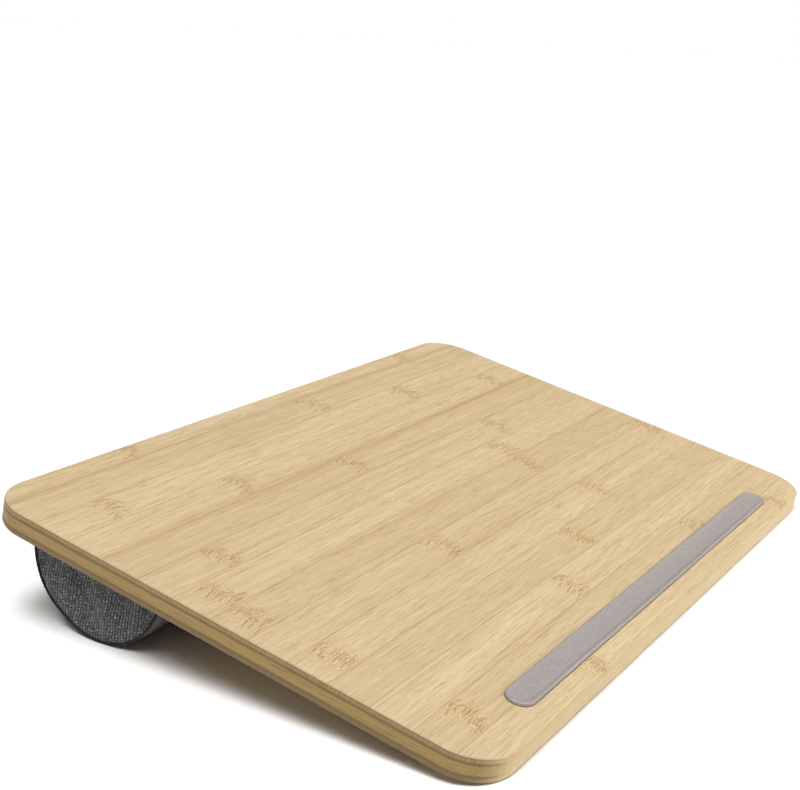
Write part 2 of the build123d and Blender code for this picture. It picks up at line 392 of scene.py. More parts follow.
def bamboo_face():
    s = Surface("bamboo_face")
    wander = (noise((s.x * 0.006, s.y * 0.02, 3.0), 1.0) - 0.5) * 1.2
    lanes = (s.y + wander - STRIP_START) / STRIP_PITCH
    strip, across = lanes.floor(), lanes.fract()
    fibre = fibres(s.x, s.y, s.z, strip * 13.7)
    fine, dashes, _, bands = fibre
    tone = chance(strip, 1.0, 0.0)
    marks, flecks, zone = node_marks(s, strip, across)
    from_joint = ((across - 0.5).abs() * -1.0 + 0.5) * STRIP_PITCH
    joint = from_joint.fade(0.4, 0.08)
    threads = (s.y * (tau / 1.25) + bands * 4.0).sin().fade(0.0, 1.0)
    burnt = from_joint.fade(4.6, 0.4) * chance((lanes + 0.5).floor(), 6.0, 0.0).fade(0.6, 0.9)
    end_grain = end_facing(s)
    pores = end_pores(s, 1.2) * 0.6 + noise((s.x * 0.9, s.y * 0.9, s.z * 0.15), 2.0, 0.6) * 0.4
    cut = blend((0.19, 0.125, 0.043), (0.34, 0.236, 0.09), pores.fade(0.3, 0.7))
    side = s.z.fade(-0.1, -0.8)
    # The rounded top edge, where shade is painted: its colour is darkened below so that the round shows no
    # highlight.
    arris_painted_shade = outline_distance(s).fade(-1.4, -0.5) * s.z.fade(-1.25, -0.8)

    colour = layered(
        fibre_colour((0.745, 0.6, 0.385), (0.56, 0.41, 0.225), (0.275, 0.165, 0.068), fibre),
        ((0.47, 0.33, 0.165), tone.fade(0.3, 1.0) * 0.28),
        ((0.32, 0.165, 0.06), burnt * (threads * 0.6 + 0.15) * 0.6),
        ((0.29, 0.165, 0.065), joint * 0.45),
        ((0.46, 0.3, 0.125), zone * 0.42),
        ((0.8, 0.66, 0.43), flecks * 0.65),
        ((0.27, 0.145, 0.05), marks * 0.7),
        (cut, side * end_grain * 0.95),
        ((0.53, 0.375, 0.15), side * (1.0 - end_grain) * 0.75),
    )
    # Painted shade on the rounded top edge, stronger on the end-grain sides, which holds back the edge's
    # highlight.
    colour = scale_colour(colour, 1.0 - arris_painted_shade * (end_grain * 0.2 + 0.06))
    colour = blend(colour, (0.13, 0.076, 0.022), s.z.fade(-2.0, -2.9) * (end_grain * 0.66 + 0.04))
    relief = dashes * -0.5 - marks * 0.35 - joint * 0.5 - fine * 0.4
    lacquer = 0.12 - outline_distance(s).fade(-3.0, -1.2) * 0.12
    s.set(Coat_Weight=lacquer, Coat_Roughness=0.3, Specular_IOR_Level=0.4)
    return s.finished(colour, fine * 0.16 + 0.4 + marks * 0.1, relief, 0.05)


def bamboo_core():
    s = Surface("bamboo_core")
    lamella = (s.x / STRIP_PITCH).floor()
    fine, dashes, pale_dashes, bands = fibres(s.y, s.x, s.z, lamella * 7.1)
    end_grain = 1.0 - end_facing(s)
    layers = noise((s.x * 0.02, s.y * 0.02, s.z * 1.1))
    fibre = (fine, dashes, pale_dashes, bands * 0.6 + layers * 0.4)
    pores = end_pores(s, 2.4) * 0.5 + noise((s.x * 0.8, s.y * 0.8, s.z * 0.12), 3.0, 0.6) * 0.5
    ends = blend((0.68, 0.535, 0.3), (0.52, 0.385, 0.19), pores.fade(0.3, 0.7))
    top_line = s.z.fade(BOARD_HIGH.z - 1.1, BOARD_HIGH.z - 0.1)
    glue = top_line.max(s.z.fade(BOARD_LOW.z + 1.2, BOARD_LOW.z + 0.1))
    colour = layered(
        fibre_colour((0.385, 0.262, 0.09), (0.27, 0.18, 0.058), (0.13, 0.078, 0.022), fibre),
        (ends, end_grain * 0.9),
        ((0.115, 0.07, 0.02), glue * (0.75 - end_grain * 0.69)),
    )
    relief = dashes * -0.6 - fine * 0.5 - glue
    return s.finished(colour, fine * 0.2 + 0.42, relief, 0.08, Specular_IOR_Level=0.35)


def bamboo_back():
    s = Surface("bamboo_back")
    lanes = (s.y - 4.0) / STRIP_PITCH
    strip = lanes.floor()
    fibre = fibres(s.x, s.y, s.z, strip * 9.3 + 200.0)
    fine, dashes, _, _ = fibre
    joint = (lanes.fract() - 0.5).abs().fade(0.475, 0.495)
    end_grain = end_facing(s)
    wall = outline_distance(s).fade(-1.7, -0.8)
    cut = blend((0.125, 0.076, 0.027), (0.215, 0.14, 0.056), end_pores(s, 1.2).fade(0.3, 0.7))
    colour = layered(
        fibre_colour((0.5, 0.385, 0.22), (0.4, 0.285, 0.145), (0.2, 0.125, 0.05), fibre),
        ((0.32, 0.215, 0.1), chance(strip, 5.0, 0.0) * 0.4),
        ((0.18, 0.105, 0.04), joint * 0.5),
        (cut, wall * end_grain * 0.9),
        ((0.62, 0.48, 0.28), wall * (1.0 - end_grain) * 0.9),
        ((0.1, 0.06, 0.02), s.z.fade(BOARD_LOW.z - 0.55, BOARD_LOW.z - 0.1) * (end_grain * 0.6)),
    )
    relief = dashes * -0.6 - fine * 0.5 - joint * 0.6
    return s.finished(colour, fine * 0.2 + 0.42, relief, 0.08, Specular_IOR_Level=0.35)


def dress(node, material):
    """Gives a shown CAD node one material."""
    NODES[node].data.materials.clear()
    NODES[node].data.materials.append(material)


# ---- mesh building
def new_piece(name, points, faces, material):
    """A smooth closed mesh object from points on the level board, in millimetres."""
    mesh = bpy.data.meshes.new(name)
    mesh.from_pydata([tuple(c * MM for c in p) for p in points], [], faces)
    work = bmesh.new()
    work.from_mesh(mesh)
    bmesh.ops.recalc_face_normals(work, faces=work.faces)
    work.to_mesh(mesh)
    work.free()
    mesh.materials.append(material)
    mesh.shade_smooth()
    return new_object(name, mesh)


def join_model(piece, body, slot, *stands_for):
    """Tilts a finished piece with the board, ties it to a body and hides the CAD nodes that it stands for."""
    piece.data.transform(BOARD)
    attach(piece, body)
    if stands_for:
        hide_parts(*stands_for)


def apply_modifiers(piece):
    shown = piece.evaluated_get(bpy.context.evaluated_depsgraph_get())
    mesh = bpy.data.meshes.new_from_object(shown)
    piece.modifiers.clear()
    piece.data = mesh


def crease(piece, turn):
    """Shades smooth, apart from edges that turn by more than this many degrees."""
    piece.data.set_sharp_from_angle(angle=radians(turn))


def ring_faces(rings, count, closed=False):
    """Quads between rings of `count` points each, and from the last ring to the first where closed."""
    faces = []
    for i in range(rings if closed else rings - 1):
        here, there = i * count, (i + 1) % rings * count
        for j in range(count):
            k = (j + 1) % count
            faces.append((here + j, here + k, there + k, there + j))
    return faces


def capped_rings(rings):
    """Points and faces of a closed shape from rings with the same number of points."""
    count = len(rings[0])
    faces = ring_faces(len(rings), count)
    last = (len(rings) - 1) * count
    faces += [tuple(range(count))[::-1], tuple(range(last, last + count))]
    return [p for ring in rings for p in ring], faces


def tube(path, radius, sides, closed=False):
    """Points and faces of a tube along a path; radius is a number or a function of the point's index."""
    path = [Vector(p) for p in path]
    count = len(path)
    rings, across = [], None
    for i, p in enumerate(path):
        before = path[i - 1] if closed or i else p
        after = path[(i + 1) % count] if closed or i < count - 1 else p
        ahead = (after - before).normalized()
        if across is None:
            across = ahead.orthogonal().normalized()
        across = (across - ahead * across.dot(ahead)).normalized()
        up = ahead.cross(across)
        r = radius(i) if callable(radius) else radius
        turns = [tau * k / sides for k in range(sides)]
        rings.append([p + (across * cos(a) + up * sin(a)) * r for a in turns])
    if closed:
        return [p for ring in rings for p in ring], ring_faces(count, sides, closed=True)
    return capped_rings(rings)


def joined(parts):
    """One point list and face list from several."""
    points, faces = [], []
    for part_points, part_faces in parts:
        base = len(points)
        points += part_points
        faces += [tuple(base + i for i in face) for face in part_faces]
    return points, faces


# ---- stop strip
STRIP_LOW, STRIP_HIGH = level_box("stop_strip")
STRIP_ARC_POINTS = 28
# The strip's section from its foot to the middle of its dish: (in from the outline, below the highest point).
STRIP_SECTION = (
    (0.0, 2.4), (0.0, 0.85), (0.05, 0.55), (0.2, 0.28), (0.42, 0.1), (0.72, 0.01), (1.05, 0.0), (1.35, 0.06),
    (1.62, 0.2), (1.95, 0.42), (2.4, 0.62), (3.1, 0.76), (4.4, 0.82), (6.3, 0.84),
)


def strip_ring(inset, drop):
    """A ring of points round the strip, with half-round ends."""
    middle = (STRIP_LOW + STRIP_HIGH) / 2
    half_width = STRIP_HIGH.y - middle.y
    radius, centre = half_width - inset, STRIP_HIGH.x - half_width
    ring = []
    for side in (1, -1):
        for i in range(STRIP_ARC_POINTS + 1):
            a = pi * i / STRIP_ARC_POINTS - side * pi / 2
            ring.append((side * centre + radius * cos(a), middle.y + radius * sin(a), STRIP_HIGH.z - drop))
    return ring


def silicone():
    s = Surface("grey_silicone")
    grain = noise(s.at, 3.0, 0.65, scale=2.6)
    speck = noise(s.at, 3.0, 0.6, scale=0.8)
    wear = noise((s.x * 0.05, s.y * 0.3, s.z * 0.3), 3.0, 0.6)
    colour = layered(
        (0.355, 0.322, 0.302),
        ((0.3, 0.27, 0.256), speck.fade(0.3, 0.7)),
        ((0.42, 0.385, 0.375), grain.fade(0.58, 0.8) * 0.35),
        ((0.45, 0.412, 0.4), wear.fade(0.5, 0.8) * 0.25),
    )
    return s.finished(colour, grain * 0.2 + wear * 0.15 + 0.36, grain + speck * 0.5, 0.04)


def make_strip():
    points, faces = capped_rings([strip_ring(*place) for place in STRIP_SECTION])
    strip = new_piece("stop_strip_moulded", points, faces, silicone())
    join_model(strip, "board", "grey_silicone", "stop_strip")


def adhesive():
    s = Surface("adhesive")
    blotch = noise(s.at, 4.0, 0.6, scale=0.25)
    colour = blend((0.62, 0.6, 0.55), (0.48, 0.46, 0.41), blotch.fade(0.35, 0.65))
    return s.finished(colour, blotch * 0.3 + 0.2, blotch, 0.03)


# ---- cushion shapes
COVER_PANELS = ("cover_curved", "cover_top", "cover_end_left", "cover_end_right")
WARP_PITCH = 1.6
WEFT_PITCH = 0.85
TOP_LOW, TOP_HIGH = level_box("cover_top")
AXIS_Y = (TOP_LOW.y + TOP_HIGH.y) / 2
AXIS_Z = TOP_HIGH.z
RADIUS = (TOP_HIGH.y - TOP_LOW.y) / 2
SEAM_X = TOP_HIGH.x + 0.5
PIPING_RADIUS = 0.6
TAPE_LOW, TAPE_HIGH = level_box("loop_tape_rear")
TAPE_OFFSET = (TAPE_LOW.y + TAPE_HIGH.y) / 2 - AXIS_Y
TAPE_HALF_WIDTH = (TAPE_HIGH.y - TAPE_LOW.y) / 2
HOOK_LOW, HOOK_HIGH = level_box("hook_tape_rear")
ZIP_ANGLE = radians(11.0)
ZIP_SLOT_HALF = 5.0
ZIP_SLOT_END = level_box("zip_tape_upper")[1].x + 1.0
ZIP_LIP_DROP = 0.75
COVER_CHANNEL = RADIUS - 2.9
FOAM_CHANNEL = RADIUS - 3.3
FOAM_INSET = 1.3
COVER_CROWN = 0.8
SEAM_PULL = 0.75
SEAM_PULL_REACH = 1.3
FULLNESS_REACH = 30.0
END_DROP = 0.85
END_DROP_REACH = 1.6
FLAT_SIDE_DROP = 0.08
SHELL_STEP = 3.14
SHELL_END_STEP = 3.0
FLAT_SIDE_STEPS = 30
ROUND_SIDE_STEPS = 62
# Edges of the cover's skin across the zip, from its middle, and past the ends of its slot.
ZIP_EDGES = (-5.9, -5.25, -4.95, -2.5, 0.0, 2.5, 4.95, 5.25, 5.9)
ZIP_END_EDGES = (-1.4, -0.05, 0.25, 1.0, 3.5)
SEAM_EDGES = (2.7, 1.6, 0.8, 0.0)
END_RING_SHARES = (0.985, 0.96, 0.92, 0.86, 0.78, 0.69, 0.59, 0.48, 0.36, 0.23, 0.1)
CLOTH_FRAMES = 20
CLOTH_CAP = 1.2
CLOTH = {
    "quality": 6, "mass": 0.2, "tension_stiffness": 20, "compression_stiffness": 20, "shear_stiffness": 8,
    "bending_stiffness": 0.3, "shrink_min": -0.015, "use_pressure": True, "uniform_pressure_force": 4.0,
}
PUCKER_DEPTH = 0.35
PUCKER_REACH = 5.0
PUCKER_SPACING = 7.0
TOP_CROWN_LIMIT = 0.75


def zip_arc(x, v, r):
    """A point at radius r on the cushion's round side, v down its arc from the middle of the zip."""
    angle = ZIP_ANGLE + v / RADIUS
    return Vector((x, AXIS_Y + r * cos(angle), AXIS_Z - r * sin(angle)))


def zip_flat(u, v, w):
    """A point in the zip's own flat frame: along it, down it, and out from the cushion's axis."""
    c, s = cos(ZIP_ANGLE), sin(ZIP_ANGLE)
    return Vector((u, AXIS_Y + w * c - v * s, AXIS_Z - w * s - v * c))


def end_radius(angle):
    """The cushion's outline at its ends: nearly round, pressed in a little under the rear of the board."""
    return RADIUS - 0.3 - 1.4 * exp(-(((degrees(angle) - 70) / 22) ** 2))


def cover_radius(angle, x, inset):
    """The cushion pulls in at its end seams and is fuller between them."""
    from_end = SEAM_X - abs(x)
    near = exp(-from_end / FULLNESS_REACH)
    end, middle = end_radius(angle), RADIUS - 0.1 + 0.35 * (end_radius(angle) - RADIUS)
    return end * near + middle * (1 - near) - SEAM_PULL * exp(-from_end / SEAM_PULL_REACH) - inset


def spread_angles():
    """Angles round the curved panel from the rear seam to the front one, with edges for the zip's slot."""
    plain = [pi * i / ROUND_SIDE_STEPS for i in range(ROUND_SIDE_STEPS + 1)]
    keep = [a for a in plain if abs(a - ZIP_ANGLE) * RADIUS > ZIP_EDGES[-1] + 0.7 or a == 0.0]
    return sorted(keep + [ZIP_ANGLE + v / RADIUS for v in ZIP_EDGES])


def spread_lengths():
    """Places along the cushion, closer together at the slot's ends and at the end seams."""
    half = [SHELL_STEP * i for i in range(51)]
    half += [ZIP_SLOT_END + past for past in ZIP_END_EDGES]
    half += [166.5 + SHELL_END_STEP * i for i in range(8)]
    half += [SEAM_X - yarn_gap_shade for yarn_gap_shade in SEAM_EDGES]
    return [-x for x in reversed(half[1:])] + half


def side_radius(angle, x, inset, channel):
    """The curved side's radius: the zip's channel, its folded lips, or the plain surface."""
    v = abs(angle - ZIP_ANGLE) * RADIUS
    if v < ZIP_SLOT_HALF and abs(x) < ZIP_SLOT_END:
        return channel
    if v < ZIP_SLOT_HALF + 0.3 and abs(x) < ZIP_SLOT_END + 0.3:
        return RADIUS - ZIP_LIP_DROP - inset
    return cover_radius(angle, x, inset)


def cushion_shell(inset, channel, crown):
    """Points, faces and each face's panel for a closed half-round cushion, its flat side up."""
    angles = spread_angles()
    lengths = spread_lengths()
    around = len(angles) + FLAT_SIDE_STEPS
    points = []
    for x in lengths:
        end_drop = END_DROP * exp(-(SEAM_X - abs(x)) / END_DROP_REACH)
        for angle in angles:
            r = side_radius(angle, x, inset, channel)
            from_seam = min(angle, pi - angle) * RADIUS
            highest = -inset - 0.55 * exp(-from_seam / 1.5) - end_drop
            points.append((x, AXIS_Y + r * cos(angle), AXIS_Z + min(-r * sin(angle), highest)))
        for i in range(FLAT_SIDE_STEPS):
            share = 1 - 2 * (i + 1) / (FLAT_SIDE_STEPS + 1)
            half_width = cover_radius(0.0 if share < 0 else pi, x, inset)
            from_seam = (1 - abs(share)) * RADIUS
            drop = FLAT_SIDE_DROP + inset + end_drop + 0.45 * exp(-from_seam / 1.8)
            points.append((x, AXIS_Y - share * half_width, AXIS_Z - drop))
    faces = ring_faces(len(lengths), around)
    curved = len(angles) - 1
    panels = (["curved"] * curved + ["top"] * (around - curved)) * (len(lengths) - 1)
    for side, start in ((-1, 0), (1, (len(lengths) - 1) * around)):
        centre = Vector((0, AXIS_Y, AXIS_Z - RADIUS * 0.45))
        rim = points[start:start + around]
        numbers = [*range(start, start + around)]
        for share in END_RING_SHARES:
            numbers += range(len(points), len(points) + around)
            for point in rim:
                p = centre + (Vector(point) - centre) * share
                p.x = side * (SEAM_X - inset + crown * (1 - share**2.2))
                points.append(tuple(p))
        quads = ring_faces(len(END_RING_SHARES) + 1, around)
        faces += [tuple(numbers[i] for i in quad) for quad in quads]
        faces.append(tuple(numbers[-around:]))
    panels += ["end"] * (len(faces) - len(panels))
    return points, faces, panels


def level_points(mesh):
    flat = np.zeros(len(mesh.vertices) * 3, np.float32)
    mesh.vertices.foreach_get("co", flat)
    return flat.reshape(-1, 3).astype(float) / MM


def set_level_points(mesh, points):
    mesh.vertices.foreach_set("co", (points * MM).astype(np.float32).ravel())
    mesh.update()


def reshape(piece, change):
    """Moves a piece's points by a function of them all."""
    set_level_points(piece.data, change(level_points(piece.data)))


def sewn_points(points):
    """Where the cover can't swell: its seams, the zip's slot and the backing of the loop tapes."""
    x, y, z = points.T
    across, below = y - AXIS_Y, AXIS_Z - z
    v = (np.arctan2(below, across) - ZIP_ANGLE) * RADIUS
    r = np.hypot(across, below)
    on_top = (below < 1.6) & (np.abs(across) < RADIUS - 1.2)
    end_seam = (np.abs(np.abs(x) - SEAM_X) < 0.1) & (r > RADIUS * 0.9) | (np.abs(x) > SEAM_X - 0.9) & on_top
    long_seam = (np.abs(across) > RADIUS - 1.6) & (below < 1.2)
    zip_slot = (np.abs(v) < 7.2) & (np.abs(x) < ZIP_SLOT_END + 3)
    taped = on_top & (np.abs(np.abs(across) - TAPE_OFFSET) < TAPE_HALF_WIDTH + 0.6)
    taped &= np.abs(x) < TAPE_HIGH.x + 1
    return end_seam | long_seam | zip_slot | taped


def inflate(piece):
    """Blows the cover up with cloth pressure while its sewn points are held, and keeps the move, capped."""
    rest = level_points(piece.data)
    sewn = piece.vertex_groups.new(name="sewn")
    sewn.add([int(i) for i in np.flatnonzero(sewn_points(rest))], 1.0, "REPLACE")
    cloth = piece.modifiers.new("cloth", "CLOTH")
    set_all(cloth.settings, vertex_group_mass=sewn.name, **CLOTH)
    cloth.settings.effector_weights.gravity = 0
    cloth.collision_settings.use_collision = False
    set_all(cloth.point_cache, frame_start=1, frame_end=CLOTH_FRAMES)
    for step in range(1, CLOTH_FRAMES + 1):
        bpy.context.scene.frame_set(step)
    shown = piece.evaluated_get(bpy.context.evaluated_depsgraph_get())
    move = level_points(shown.data) - rest
    piece.modifiers.remove(cloth)
    piece.vertex_groups.remove(sewn)
    bpy.context.scene.frame_set(1)
    far = np.linalg.norm(move, axis=1, keepdims=True)
    move *= CLOTH_CAP * np.tanh(far / CLOTH_CAP) / np.maximum(far, 1e-6)
    set_level_points(piece.data, rest + move)


def pucker(points):
    """Small gathers along the end seams, in the curved panel and in the end panels."""
    x, y, z = points.T
    across, below = y - AXIS_Y, AXIS_Z - z
    angle = np.arctan2(below, across)
    r = np.hypot(across, below)
    s = angle * RADIUS
    wave = np.sin(tau * s / PUCKER_SPACING + 1.3 * np.sin(s * 0.31) + np.sign(x))

    def gathers(from_seam, near):
        depth = PUCKER_DEPTH * wave * np.exp(-from_seam / PUCKER_REACH) * np.clip(from_seam / 1.5, 0, 1)
        return np.where(near & (from_seam > 0.4) & (below > 2.0), depth, 0)

    from_end = np.where(np.abs(x) < SEAM_X, SEAM_X - np.abs(x), 99.0)
    on_side = gathers(from_end, r > RADIUS - 2.4)
    on_end = gathers(RADIUS - 1.2 - r, np.abs(x) > SEAM_X - 0.3)
    return points + np.stack((np.sign(x) * on_end, on_side * np.cos(angle), -on_side * np.sin(angle)), axis=1)


def settle(points):
    """Presses the cushion flat on the floor, and keeps its flat side below the hook tapes."""
    below_floor = np.minimum(points @ np.array(UP) + BOARD.translation.z / MM, 0)
    points = points - below_floor[:, None] * np.array(UP)
    points[:, 2] = np.minimum(points[:, 2], AXIS_Z + TOP_CROWN_LIMIT)
    return points


def lay_weave(mesh, panels):
    """A UV map in metres that runs straight on each panel: along it, and round or up it."""
    layer = mesh.uv_layers.new(name="weave")
    for face, panel in zip(mesh.polygons, panels):
        for loop in face.loop_indices:
            x, y, z = mesh.vertices[mesh.loops[loop].vertex_index].co
            if panel == "curved":
                angle = atan2(AXIS_Z * MM - z, y - AXIS_Y * MM)
                layer.data[loop].uv = (x, angle * RADIUS * MM)
            else:
                layer.data[loop].uv = (x, y) if panel == "top" else (y, z)


def woven_cloth():
    """A plain weave of heathered charcoal yarns, thicker and paler here and there, with painted shade between
    them.
    """
    s = Surface("grey_fabric")
    u, v = s.uv("weave")
    sway = noise((u * 0.12, v * 0.12, 0.0)) - 0.5
    lean = noise((u * 0.1, v * 0.1, 40.0)) - 0.5
    u = u / WARP_PITCH + sway * 1.6
    v = v / WEFT_PITCH + lean * 1.6
    column, row = u.floor(), v.floor()
    in_column, in_row = u.fract() - 0.5, v.fract() - 0.5
    over = ((column + row) * 0.5).fract().above(0.25) * 2.0 - 1.0
    warp = (1.0 - in_column * in_column * 4.0) * (over * (in_row * pi).cos() * 0.35 + 0.65)
    weft = (1.0 - in_row * in_row * 4.0) * (0.45 - over * (in_column * pi).cos() * 0.4)
    height = warp.max(weft)

    warp_tone = noise((column * 3.7, v * 0.95, 3.0), 3.0, 0.85)
    weft_tone = noise((u * 0.95, row * 3.7, 9.0), 3.0, 0.85) * 0.86
    tone = weft_tone + (warp - weft).fade(-0.04, 0.04) * (warp_tone - weft_tone)
    fleck = noise((u * 2.2, v * 0.9, 21.0), 3.0, 0.8)
    column_tone = chance(column, 1.0, 0.0)
    # Painted shade: the gaps between the yarns and the low parts of the weave are darkened almost to black.
    yarn_gap_shade = in_column.abs().fade(0.22, 0.46).max(height.fade(0.45, 0.12))
    colour = layered(
        (0.008, 0.009, 0.01),
        ((0.135, 0.141, 0.143), tone.fade(0.36, 0.56)),
        ((0.56, 0.57, 0.573), tone.fade(0.52, 0.64) * fleck.fade(0.36, 0.58)),
        ((0.19, 0.196, 0.199), column_tone.fade(0.6, 0.95) * 0.4),
    )
    # The painted shade in the weave's gaps is laid over the yarns' colour here.
    colour = blend(scale_colour(colour, fleck * 0.9 + 0.55), (0.003, 0.004, 0.005), yarn_gap_shade * 0.92)
    s.set(Sheen_Weight=0.25, Sheen_Roughness=0.5, Specular_IOR_Level=0.25)
    return s.finished(colour, fleck * 0.2 + 0.75, height + fleck * 0.25, 0.35)


def make_cover():
    """Makes the sewn cover, and returns its level surface for the stitches."""
    points, faces, panels = cushion_shell(0.0, COVER_CHANNEL, COVER_CROWN)
    cover = new_piece("cushion_cover", points, faces, woven_cloth())
    inflate(cover)
    reshape(cover, lambda points: settle(pucker(points)))
    lay_weave(cover.data, panels)
    subdivision = cover.modifiers.new("subdivision", "SUBSURF")
    subdivision.levels = subdivision.render_levels = 1
    apply_modifiers(cover)
    reshape(cover, settle)
    points = [tuple(p) for p in level_points(cover.data)]
    surface = BVHTree.FromPolygons(points, [tuple(p.vertices) for p in cover.data.polygons])
    join_model(cover, "cushion", "grey_fabric", *COVER_PANELS)
    return surface


def foam():
    s = Surface("foam")
    cells = noise(s.at, 3.0, 0.75, scale=1.6)
    clouds = noise(s.at, 3.0, scale=0.03)
    colour = blend((0.78, 0.74, 0.6), (0.6, 0.53, 0.36), cells.fade(0.35, 0.7))
    colour = blend(colour, (0.7, 0.6, 0.36), clouds.fade(0.4, 0.7) * 0.4)
    return s.finished(colour, 0.95, cells, 0.4, Specular_IOR_Level=0.2, Sheen_Weight=0.15)


def make_foam():
    points, faces, _ = cushion_shell(FOAM_INSET, FOAM_CHANNEL, 0.0)
    block = new_piece("foam_block", points, faces, foam())
    floor_gap = np.array(UP * FOAM_INSET)
    reshape(block, lambda points: settle(points - floor_gap) + floor_gap)
    crease(block, 50)
    join_model(block, "cushion", "foam", "foam_core")


# ---- piping and stitches
PIPING_X = SEAM_X + 0.2
PIPING_STEPS = 260
PIPING_CORNER = 1.6
PIPING_TWIST = 2.6
STITCH_LENGTH = 2.4
STITCH_PITCH = 3.3
STITCH_RADIUS = 0.22
SEAM_STITCH_DOWN = 4.0
SEAM_STITCH_END = SEAM_X - 6.0
LIP_STITCH = 7.3
LIP_STITCH_END = ZIP_SLOT_END + 2.3
LIP_STITCH_TOP = -4.9


def end_outline():
    """Evenly spaced (y, z) points round the end seam, where the piping lies, and the way round in all."""
    top = AXIS_Z - 0.15 - PIPING_RADIUS
    loop = []
    for i in range(121):
        angle = pi * i / 120
        r = end_radius(angle) - PIPING_RADIUS * 0.8
        loop.append((AXIS_Y + r * cos(angle), min(AXIS_Z - r * sin(angle), top)))
    loop = np.array(loop + loop[:1])
    walked = np.concatenate(([0], np.hypot(*np.diff(loop, axis=0).T).cumsum()))
    total = walked[-1]
    goals = np.arange(PIPING_STEPS) * total / PIPING_STEPS
    ring = np.stack([np.interp(goals, walked, part) for part in loop.T], axis=1)
    reach = int(PIPING_CORNER / total * PIPING_STEPS) + 1
    rounded = sum(np.roll(ring, k, axis=0) for k in range(-reach, reach + 1)) / (2 * reach + 1)
    return rounded, total


def piping_cloth():
    s = Surface("black_piping")
    ribs = noise(s.at, 3.0, 0.6, scale=1.5)
    threads = noise((s.x * 5.0, s.y * 1.2 + s.z * 1.2, 0.0))
    colour = blend((0.006, 0.006, 0.007), (0.028, 0.029, 0.03), ribs.fade(0.35, 0.7))
    relief = threads + ribs * 0.5
    return s.finished(colour, threads * 0.25 + 0.65, relief, 0.08, Sheen_Weight=0.05, Specular_IOR_Level=0.2)


def make_piping():
    outline, total = end_outline()
    material = piping_cloth()
    twist = tau * total / PIPING_TWIST / PIPING_STEPS

    def thickness(i):
        return PIPING_RADIUS * (1 + 0.07 * sin(twist * i))

    for place, side in (("left", -1), ("right", 1)):
        points, faces = tube([(side * PIPING_X, y, z) for y, z in outline], thickness, 12, closed=True)
        piece = new_piece(f"piping_{place}_sewn", points, faces, material)
        reshape(piece, settle)
        join_model(piece, "cushion", "black_piping", f"piping_{place}")


def stitch(start, end, out):
    """One stitch: a short thread that dips into the cloth at both ends."""
    heights = (-0.9, 0.1, 0.55, 0.65, 0.55, 0.1, -0.9)
    path = [start.lerp(end, i / 6) + out * height * STITCH_RADIUS for i, height in enumerate(heights)]
    return tube(path, lambda i: STITCH_RADIUS * (0.55 if i in (0, 6) else 1.0), 8)


def stitch_row(a, b, surface):
    """Stitches along a straight guide from a to b, each end brought to the surface."""
    a, b = Vector(a), Vector(b)
    ahead = (b - a).normalized()
    row, walked = [], STITCH_PITCH / 2
    while walked < (b - a).length:
        ends = []
        for share in (-0.5, 0.5):
            spot, normal, _, _ = surface.find_nearest(a + ahead * (walked + share * STITCH_LENGTH))
            ends.append(spot)
        row.append(stitch(*ends, normal))
        walked += STITCH_PITCH
    return row


def thread():
    s = Surface("thread")
    twist = (s.x * 9.0 + s.y * 5.0 + s.z * 5.0).sin()
    fuzz = noise(s.at, scale=4.0)
    colour = blend((0.045, 0.046, 0.049), (0.105, 0.107, 0.112), twist.fade(-0.6, 0.8))
    return s.finished(colour, fuzz * 0.2 + 0.5, twist * 0.5 + fuzz, 0.05)


def make_stitches(surface):
    rows = []
    for angle in (SEAM_STITCH_DOWN / RADIUS, pi - SEAM_STITCH_DOWN / RADIUS):
        y, z = AXIS_Y + RADIUS * cos(angle), AXIS_Z - RADIUS * sin(angle)
        rows += stitch_row((-SEAM_STITCH_END, y, z), (SEAM_STITCH_END, y, z), surface)
    left, right = -LIP_STITCH_END, LIP_STITCH_END
    guides = [((left, LIP_STITCH), (right, LIP_STITCH))]
    guides += [((x, LIP_STITCH_TOP), (x, LIP_STITCH)) for x in (left, right)]
    for start, end in guides:
        rows += stitch_row(zip_arc(*start, RADIUS), zip_arc(*end, RADIUS), surface)
    points, faces = joined(rows)
    piece = new_piece("cover_stitches", points, faces, thread())
    join_model(piece, "cushion", "grey_fabric")


# ---- hook and loop tapes
TAPE_CORNER = 3.0
TAPE_BASE = 0.35
HOOK_PITCH = 2.3
HOOK_WIRE = 0.11
# A hook's points from its foot to its tip: (how far it leans out, its share of the height).
HOOK_SHAPE = ((0.0, 0.0), (0.02, 0.55), (0.22, 0.92), (0.52, 0.9), (0.68, 0.62))
LOOP_PITCH = 2.1
LOOP_WIRE = 0.07
LOOP_REACH = 0.75
LOOP_STEPS = 5
TAPE_SELVEDGE = 1.3
TAPE_JITTER = 0.12


def rounded_slab(centre_y, z_low, z_high):
    """A tape's woven base: a flat slab with rounded corners and softened long edges."""
    rings = []
    for inset, z in ((0.1, z_low), (0.0, z_low + 0.1), (0.0, z_high - 0.1), (0.1, z_high)):
        radius = TAPE_CORNER - inset
        ring = []
        for quarter in range(4):
            x = (TAPE_HIGH.x - TAPE_CORNER) * (1, -1, -1, 1)[quarter]
            y = centre_y + (TAPE_HALF_WIDTH - TAPE_CORNER) * (1, 1, -1, -1)[quarter]
            for i in range(7):
                a = pi / 2 * (quarter + i / 6)
                ring.append((x + radius * cos(a), y + radius * sin(a), z))
        rings.append(ring)
    return capped_rings(rings)


